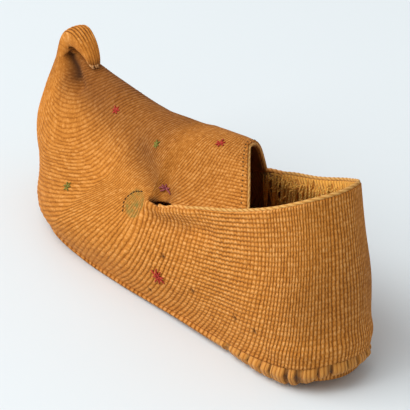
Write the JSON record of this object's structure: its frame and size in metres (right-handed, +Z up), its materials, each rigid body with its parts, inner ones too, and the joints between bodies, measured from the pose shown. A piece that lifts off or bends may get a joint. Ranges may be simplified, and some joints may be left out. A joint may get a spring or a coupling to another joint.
{
  "type": "curled-toe fibre slipper (tibetan shoe)",
  "caption": "Slip-on shoe looped from plant fibre, with a pointed toe curled back, a flap over the instep, a high heel cup and a gathered soft sole.",
  "frame": {"origin": "on the floor, under the middle of the shoe's overall length and width", "axes": "+X from heel to toe, +Y to the wearer's left, +Z up"},
  "size_m": [0.2468, 0.089, 0.1034],
  "materials": {
    "upper_fibre": "matt looped plant fibre",
    "sole_fibre": "matt, thick gathered cords",
    "mat_fibre": "matt straw-coloured plaited mat",
    "collar_fibre": "matt twisted border",
    "flap_fibre": "matt twisted border"
  },
  "bodies": {
    "root": {"upper": "upper_fibre", "sole": "sole_fibre", "insole": "mat_fibre", "collar_braid": "collar_fibre", "flap_braid": "flap_fibre"}
  },
  "joints": []
}
